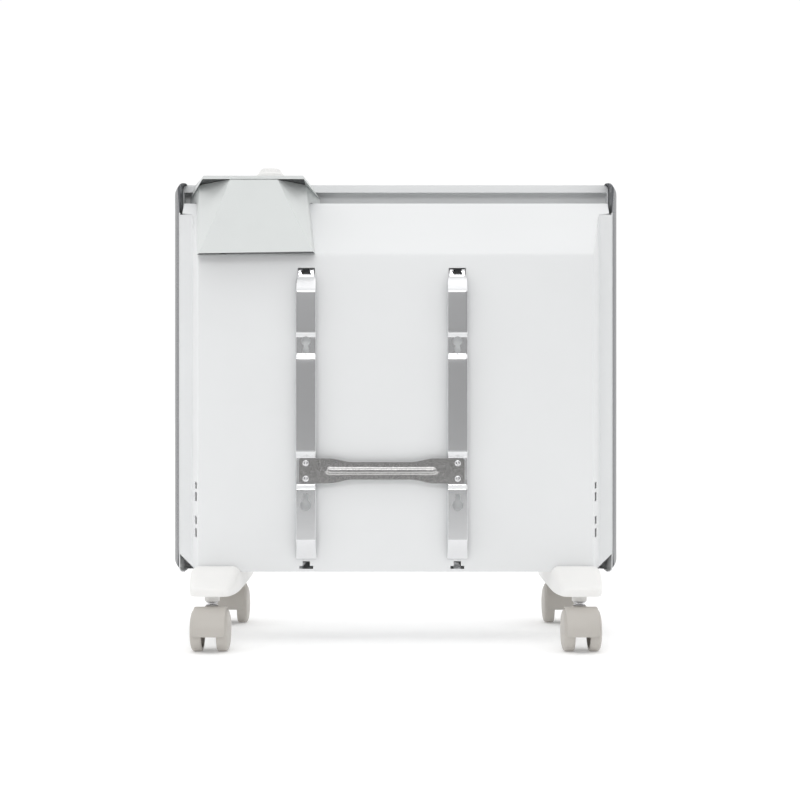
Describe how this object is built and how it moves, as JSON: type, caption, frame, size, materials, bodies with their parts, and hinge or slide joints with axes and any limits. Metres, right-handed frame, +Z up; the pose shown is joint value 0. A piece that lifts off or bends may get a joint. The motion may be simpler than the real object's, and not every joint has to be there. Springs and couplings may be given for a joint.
{
  "type": "panel convector heater",
  "caption": "Slim electric panel convector heater on castors, with a wall bracket on its back and a faceted clip-on control unit with a rotary knob.",
  "frame": {"origin": "on the floor, under the middle of the whole object", "axes": "+Z up; the front panel faces -Y and the back with the bracket faces +Y; +X is the side that carries the control unit"},
  "size_m": [0.46, 0.2556, 0.4743],
  "materials": {
    "white_coat": "satin powder coat",
    "trim_plastic": "satin",
    "unit_plastic": "fine texture",
    "knob_plastic": "satin",
    "foot_plastic": "fine texture",
    "zinc": "galvanised",
    "castor_plastic": "satin",
    "steel": "bright plated",
    "aluminium": "as cast",
    "ceramic": "unglazed",
    "black_plastic": "satin",
    "red_lens": "clear moulded",
    "rubber": "matte"
  },
  "bodies": {
    "heater": {"front_panel": "white_coat", "outlet_grille": "trim_plastic", "side_trim_left": "trim_plastic", "side_trim_right": "trim_plastic", "rear_casing": "white_coat", "inlet_grille": "white_coat", "bracket_upright_left": "zinc", "bracket_upright_right": "zinc", "bracket_brace": "zinc", "control_housing": "unit_plastic", "control_lid": "unit_plastic", "thermostat_body": "black_plastic", "switch_frame": "black_plastic", "pilot_lamp": "red_lens", "cord_grommet": "rubber", "control_plug": "black_plastic", "casing_socket": "black_plastic", "heating_element": "aluminium", "element_insulator_left": "ceramic", "element_insulator_right": "ceramic", "element_support_left": "zinc", "element_support_right": "zinc", "heat_shield": "zinc", "overheat_cutout": "black_plastic", "tilt_switch": "black_plastic", "foot_left": "foot_plastic", "foot_right": "foot_plastic", "brace_screw_left_upper": "steel", "brace_screw_left_lower": "steel", "foot_screw_left_front": "steel", "foot_screw_left_rear": "steel", "brace_screw_right_upper": "steel", "brace_screw_right_lower": "steel", "foot_screw_right_front": "steel", "foot_screw_right_rear": "steel"},
    "castor_rear_left": {"castor_rear_left_hood": "castor_plastic", "castor_rear_left_stem": "steel", "castor_rear_left_axle": "steel"},
    "castor_rear_left_wheel_l": {"castor_rear_left_wheel_left": "castor_plastic"},
    "castor_rear_left_wheel_r": {"castor_rear_left_wheel_right": "castor_plastic"},
    "castor_rear_right": {"castor_rear_right_hood": "castor_plastic", "castor_rear_right_stem": "steel", "castor_rear_right_axle": "steel"},
    "castor_rear_right_wheel_l": {"castor_rear_right_wheel_left": "castor_plastic"},
    "castor_rear_right_wheel_r": {"castor_rear_right_wheel_right": "castor_plastic"},
    "castor_front_left": {"castor_front_left_hood": "castor_plastic", "castor_front_left_stem": "steel", "castor_front_left_axle": "steel"},
    "castor_front_left_wheel_l": {"castor_front_left_wheel_left": "castor_plastic"},
    "castor_front_left_wheel_r": {"castor_front_left_wheel_right": "castor_plastic"},
    "castor_front_right": {"castor_front_right_hood": "castor_plastic", "castor_front_right_stem": "steel", "castor_front_right_axle": "steel"},
    "castor_front_right_wheel_l": {"castor_front_right_wheel_left": "castor_plastic"},
    "castor_front_right_wheel_r": {"castor_front_right_wheel_right": "castor_plastic"},
    "knob": {"thermostat_knob": "knob_plastic", "thermostat_shaft": "steel"},
    "rocker": {"power_rocker": "black_plastic"}
  },
  "joints": [
    {"name": "castor_rear_left_swivel", "type": "hinge", "parent": "heater", "child": "castor_rear_left", "pos_m": [0.1775, 0.0925, 0.0463], "axis": [0, 0, 1], "continuous": true},
    {"name": "castor_rear_right_swivel", "type": "hinge", "parent": "heater", "child": "castor_rear_right", "pos_m": [-0.1775, 0.0925, 0.0463], "axis": [0, 0, 1], "continuous": true},
    {"name": "castor_front_left_swivel", "type": "hinge", "parent": "heater", "child": "castor_front_left", "pos_m": [0.1775, -0.1075, 0.0463], "axis": [0, 0, 1], "continuous": true},
    {"name": "castor_front_right_swivel", "type": "hinge", "parent": "heater", "child": "castor_front_right", "pos_m": [-0.1775, -0.1075, 0.0463], "axis": [0, 0, 1], "continuous": true},
    {"name": "castor_rear_left_wheel_l_spin", "type": "hinge", "parent": "castor_rear_left", "child": "castor_rear_left_wheel_l", "pos_m": [0.1775, 0.1055, 0.02], "axis": [1, 0, 0], "continuous": true},
    {"name": "castor_rear_left_wheel_r_spin", "type": "hinge", "parent": "castor_rear_left", "child": "castor_rear_left_wheel_r", "pos_m": [0.1775, 0.1055, 0.02], "axis": [1, 0, 0], "continuous": true},
    {"name": "castor_rear_right_wheel_l_spin", "type": "hinge", "parent": "castor_rear_right", "child": "castor_rear_right_wheel_l", "pos_m": [-0.1775, 0.1055, 0.02], "axis": [1, 0, 0], "continuous": true},
    {"name": "castor_rear_right_wheel_r_spin", "type": "hinge", "parent": "castor_rear_right", "child": "castor_rear_right_wheel_r", "pos_m": [-0.1775, 0.1055, 0.02], "axis": [1, 0, 0], "continuous": true},
    {"name": "castor_front_left_wheel_l_spin", "type": "hinge", "parent": "castor_front_left", "child": "castor_front_left_wheel_l", "pos_m": [0.1775, -0.0945, 0.02], "axis": [1, 0, 0], "continuous": true},
    {"name": "castor_front_left_wheel_r_spin", "type": "hinge", "parent": "castor_front_left", "child": "castor_front_left_wheel_r", "pos_m": [0.1775, -0.0945, 0.02], "axis": [1, 0, 0], "continuous": true},
    {"name": "castor_front_right_wheel_l_spin", "type": "hinge", "parent": "castor_front_right", "child": "castor_front_right_wheel_l", "pos_m": [-0.1775, -0.0945, 0.02], "axis": [1, 0, 0], "continuous": true},
    {"name": "castor_front_right_wheel_r_spin", "type": "hinge", "parent": "castor_front_right", "child": "castor_front_right_wheel_r", "pos_m": [-0.1775, -0.0945, 0.02], "axis": [1, 0, 0], "continuous": true},
    {"name": "thermostat_turn", "type": "hinge", "parent": "heater", "child": "knob", "pos_m": [0.127, 0.017, 0.4645], "axis": [0, 0, 1], "range_deg": [-270, 0]},
    {"name": "power_switch", "type": "hinge", "parent": "heater", "child": "rocker", "pos_m": [0.169, 0.008, 0.4617], "axis": [1, 0, 0], "range_deg": [-12, 0]}
  ]
}
